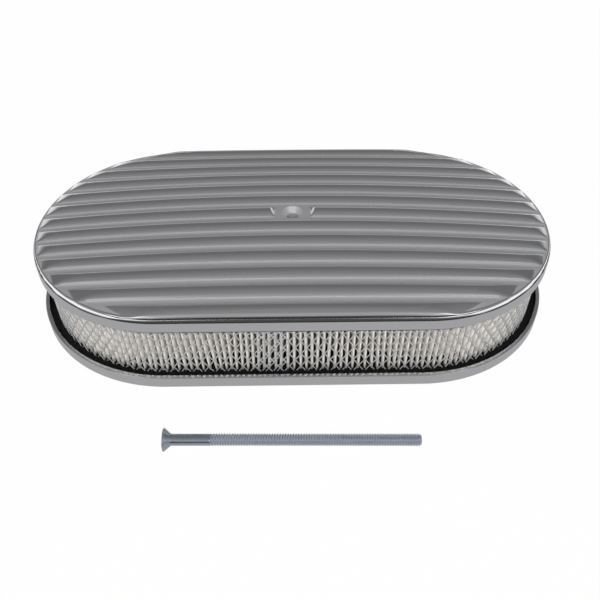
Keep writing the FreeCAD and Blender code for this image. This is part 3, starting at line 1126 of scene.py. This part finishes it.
# Where the bright parts rise: by the angle over the object, as shares of half a turn, and sideways
FRONT_RISE = (125 / 180, 150 / 180)
FRONT_END = (166 / 180, 160 / 180)
FRONT_ASIDE = (0.1, 0.6)
FRONT_ASIDE_END = (0.74, 0.64)
BACK_RISE = (26 / 180, 8 / 180)
BACK_ASIDE = (0.2, 0.5)
SIDE_ASIDE = (0.74, 0.86)
SIDE_HEIGHT = (0.3, 0.15)
# Painted reflection: the floor glows only for the metal's reflections, light close by, dark in a ring,
# light far out to the sides
FLOOR_IN_METAL = (0.40, 0.40, 0.405)
FLOOR_NEAR = (0.2, 0.185)
FLOOR_FAR = (0.25, 0.29)
FLOOR_ASIDE = (0.22, 0.42)
FLOOR_ASIDE_LEVEL = 2.6
FLOOR_AHEAD_LEVEL = 0.12
FLOOR_SHADE_LEVEL = 0.08
FLOOR_WHITE_SHARE = 0.985


def math_node(nodes, links, operation, first, second=None):
    node = nodes.new("ShaderNodeMath")
    node.operation = operation
    for socket, value in zip(node.inputs, (first, second)):
        if value is None:
            continue
        if isinstance(value, (int, float)):
            socket.default_value = value
        else:
            links.new(value, socket)
    return node.outputs["Value"]


def soft_step(nodes, links, value, start, end):
    """From 0 to 1 between two values, softly."""
    step = nodes.new("ShaderNodeMapRange")
    step.interpolation_type = "SMOOTHSTEP"
    step.inputs["From Min"].default_value = start
    step.inputs["From Max"].default_value = end
    links.new(value, step.inputs["Value"])
    return step.outputs["Result"]


def studio_bands(nodes, links, turn):
    bands = nodes.new("ShaderNodeValToRGB")
    elements = bands.color_ramp.elements
    for degrees, level in STUDIO_BANDS[1:-1]:
        elements.new(degrees / 180)
    for element, (degrees, level) in zip(elements, STUDIO_BANDS):
        element.position = degrees / 180
        element.color = (level, level, level * 1.01, 1)
    links.new(turn, bands.inputs["Fac"])
    return bands.outputs["Color"]


def studio_world():
    """Grey studio with soft bands for the metal to reflect, and white where the camera looks past it."""
    world = bpy.data.worlds.new("studio")
    bpy.context.scene.world = world
    world.use_nodes = True
    nodes = world.node_tree.nodes
    links = world.node_tree.links
    nodes.clear()
    place = nodes.new("ShaderNodeTexCoord")
    split = nodes.new("ShaderNodeSeparateXYZ")
    links.new(place.outputs["Generated"], split.inputs["Vector"])
    angle = math_node(nodes, links, "ARCTAN2", split.outputs["Z"], split.outputs["Y"])
    turn = math_node(nodes, links, "DIVIDE", angle, math.pi)
    sideways = math_node(nodes, links, "ABSOLUTE", split.outputs["X"])
    height = split.outputs["Z"]
    front = math_node(nodes, links, "MULTIPLY", soft_step(nodes, links, turn, *FRONT_RISE),
                      soft_step(nodes, links, sideways, *FRONT_ASIDE))
    front = math_node(nodes, links, "MULTIPLY", front, soft_step(nodes, links, sideways, *FRONT_ASIDE_END))
    front = math_node(nodes, links, "MULTIPLY", front, soft_step(nodes, links, turn, *FRONT_END))
    back = math_node(nodes, links, "MULTIPLY", soft_step(nodes, links, turn, *BACK_RISE),
                     soft_step(nodes, links, sideways, *BACK_ASIDE))
    side = math_node(nodes, links, "MULTIPLY", soft_step(nodes, links, sideways, *SIDE_ASIDE),
                     soft_step(nodes, links, height, *SIDE_HEIGHT))
    side = math_node(nodes, links, "MULTIPLY", math_node(nodes, links, "MAXIMUM", back, side), SIDE_GLOW)
    boxes = math_node(nodes, links, "ADD", front, side)
    total = nodes.new("ShaderNodeMix")
    total.data_type = "RGBA"
    total.blend_type = "ADD"
    total.inputs["Factor"].default_value = 1.0
    links.new(studio_bands(nodes, links, turn), total.inputs["A"])
    links.new(boxes, total.inputs["B"])
    background = nodes.new("ShaderNodeBackground")
    links.new(total.outputs["Result"], background.inputs["Color"])
    white = nodes.new("ShaderNodeBackground")
    white.inputs["Color"].default_value = (1, 1, 1, 1)
    path = nodes.new("ShaderNodeLightPath")
    mix = nodes.new("ShaderNodeMixShader")
    links.new(path.outputs["Is Camera Ray"], mix.inputs["Fac"])
    links.new(background.outputs["Background"], mix.inputs[1])
    links.new(white.outputs["Background"], mix.inputs[2])
    out = nodes.new("ShaderNodeOutputWorld")
    links.new(mix.outputs["Shader"], out.inputs["Surface"])


def studio_floor():
    """White floor that keeps a faint shadow; to the metal's reflections it glows in painted bands of light
    and dark.
    """
    bpy.ops.mesh.primitive_plane_add(size=8, location=(0, 0, -0.0002))
    floor = bpy.context.object
    floor.name = "studio_floor"
    material, nodes, links, shader = new_material("studio_floor")
    shader.inputs["Base Color"].default_value = (0.72, 0.72, 0.72, 1)
    shader.inputs["Roughness"].default_value = 1.0
    shader.inputs["Specular IOR Level"].default_value = 0.0
    white = nodes.new("ShaderNodeEmission")
    white.inputs["Color"].default_value = (1, 1, 1, 1)
    # Painted reflection: a glow that only reflections see, bright close by, dark in a ring round the
    # object, bright far out to the sides
    seen = nodes.new("ShaderNodeEmission")
    seen.inputs["Color"].default_value = (*FLOOR_IN_METAL, 1)
    place = nodes.new("ShaderNodeTexCoord")
    split = nodes.new("ShaderNodeSeparateXYZ")
    links.new(place.outputs["Object"], split.inputs["Vector"])
    aside = math_node(nodes, links, "ABSOLUTE", split.outputs["X"])
    beyond = math_node(nodes, links, "MAXIMUM", math_node(nodes, links, "SUBTRACT", aside, STRAIGHT), 0.0)
    square = math_node(nodes, links, "ADD", math_node(nodes, links, "MULTIPLY", beyond, beyond),
                       math_node(nodes, links, "POWER", split.outputs["Y"], 2.0))
    away = math_node(nodes, links, "SQRT", square)
    near = soft_step(nodes, links, away, *FLOOR_NEAR)
    far = soft_step(nodes, links, away, *FLOOR_FAR)
    level = soft_step(nodes, links, aside, *FLOOR_ASIDE)
    level = math_node(nodes, links, "MULTIPLY", level, FLOOR_ASIDE_LEVEL)
    level = math_node(nodes, links, "ADD", level, FLOOR_AHEAD_LEVEL)
    total = math_node(nodes, links, "ADD", near, math_node(nodes, links, "MULTIPLY", far, level))
    links.new(math_node(nodes, links, "ADD", total, FLOOR_SHADE_LEVEL), seen.inputs["Strength"])
    path = nodes.new("ShaderNodeLightPath")
    white_share = math_node(nodes, links, "MULTIPLY", path.outputs["Is Camera Ray"], FLOOR_WHITE_SHARE)
    to_camera = nodes.new("ShaderNodeMixShader")
    links.new(white_share, to_camera.inputs["Fac"])
    links.new(shader.outputs["BSDF"], to_camera.inputs[1])
    links.new(white.outputs["Emission"], to_camera.inputs[2])
    to_metal = nodes.new("ShaderNodeMixShader")
    links.new(path.outputs["Is Glossy Ray"], to_metal.inputs["Fac"])
    links.new(to_camera.outputs["Shader"], to_metal.inputs[1])
    links.new(seen.outputs["Emission"], to_metal.inputs[2])
    links.new(to_metal.outputs["Shader"], nodes["Material Output"].inputs["Surface"])
    floor.data.materials.append(material)


def add_softbox(name, place, target, size, power, glossy):
    bpy.ops.object.light_add(type="AREA", location=place)
    lamp = bpy.context.object
    lamp.name = name
    lamp.data.shape = "RECTANGLE"
    lamp.data.size = size[0]
    lamp.data.size_y = size[1]
    lamp.data.energy = power
    lamp.visible_glossy = glossy
    lamp.rotation_euler = (Vector(target) - Vector(place)).to_track_quat("-Z", "Y").to_euler()


class AIRCLEANER_OT_stage(bpy.types.Operator):
    """Set the floor, the studio light and the camera"""

    bl_idname = "air_cleaner.stage"
    bl_label = "Studio"

    def execute(self, context):
        bpy.context.scene.view_settings.view_transform = "Standard"
        add_camera()
        studio_world()
        studio_floor()
        add_softbox("front_fill", (0, -1.6, 1.3), (0, 0, 0), (2.4, 1.4), 38, False)
        return {"FINISHED"}


class AIRCLEANER_PT_panel(bpy.types.Panel):
    """Lists the pieces of the air cleaner"""

    bl_label = "Air cleaner"
    bl_idname = "AIRCLEANER_PT_panel"
    bl_space_type = "VIEW_3D"
    bl_region_type = "UI"
    bl_category = "Air cleaner"

    def draw(self, context):
        for group in (lid_sizes(), element_sizes(), screw_sizes(), finishes()):
            box = self.layout.box()
            for name in group.__annotations__:
                box.prop(group, name)
        for operator in OPERATORS:
            self.layout.operator(operator.bl_idname)


OPERATORS = (
    AIRCLEANER_OT_lid,
    AIRCLEANER_OT_base,
    AIRCLEANER_OT_screen,
    AIRCLEANER_OT_pleats,
    AIRCLEANER_OT_seal,
    AIRCLEANER_OT_screw,
    AIRCLEANER_OT_finish_nodes,
    AIRCLEANER_OT_stage,
)
GROUPS = {
    "air_cleaner_lid": LidSizes,
    "air_cleaner_element": ElementSizes,
    "air_cleaner_screw": ScrewSizes,
    "air_cleaner_finishes": Finishes,
}


def register():
    for name, group in GROUPS.items():
        bpy.utils.register_class(group)
        setattr(bpy.types.Scene, name, bpy.props.PointerProperty(type=group))
    for operator in OPERATORS:
        bpy.utils.register_class(operator)
    bpy.utils.register_class(AIRCLEANER_PT_panel)


def unregister():
    bpy.utils.unregister_class(AIRCLEANER_PT_panel)
    for operator in reversed(OPERATORS):
        bpy.utils.unregister_class(operator)
    for name, group in GROUPS.items():
        delattr(bpy.types.Scene, name)
        bpy.utils.unregister_class(group)


def main():
    register()
    bpy.ops.air_cleaner.lid()
    bpy.ops.air_cleaner.base()
    bpy.ops.air_cleaner.screen()
    bpy.ops.air_cleaner.pleats()
    bpy.ops.air_cleaner.seal()
    bpy.ops.air_cleaner.screw()
    bpy.ops.air_cleaner.finish_nodes()
    bpy.ops.air_cleaner.stage()


if __name__ == "__main__":
    main()
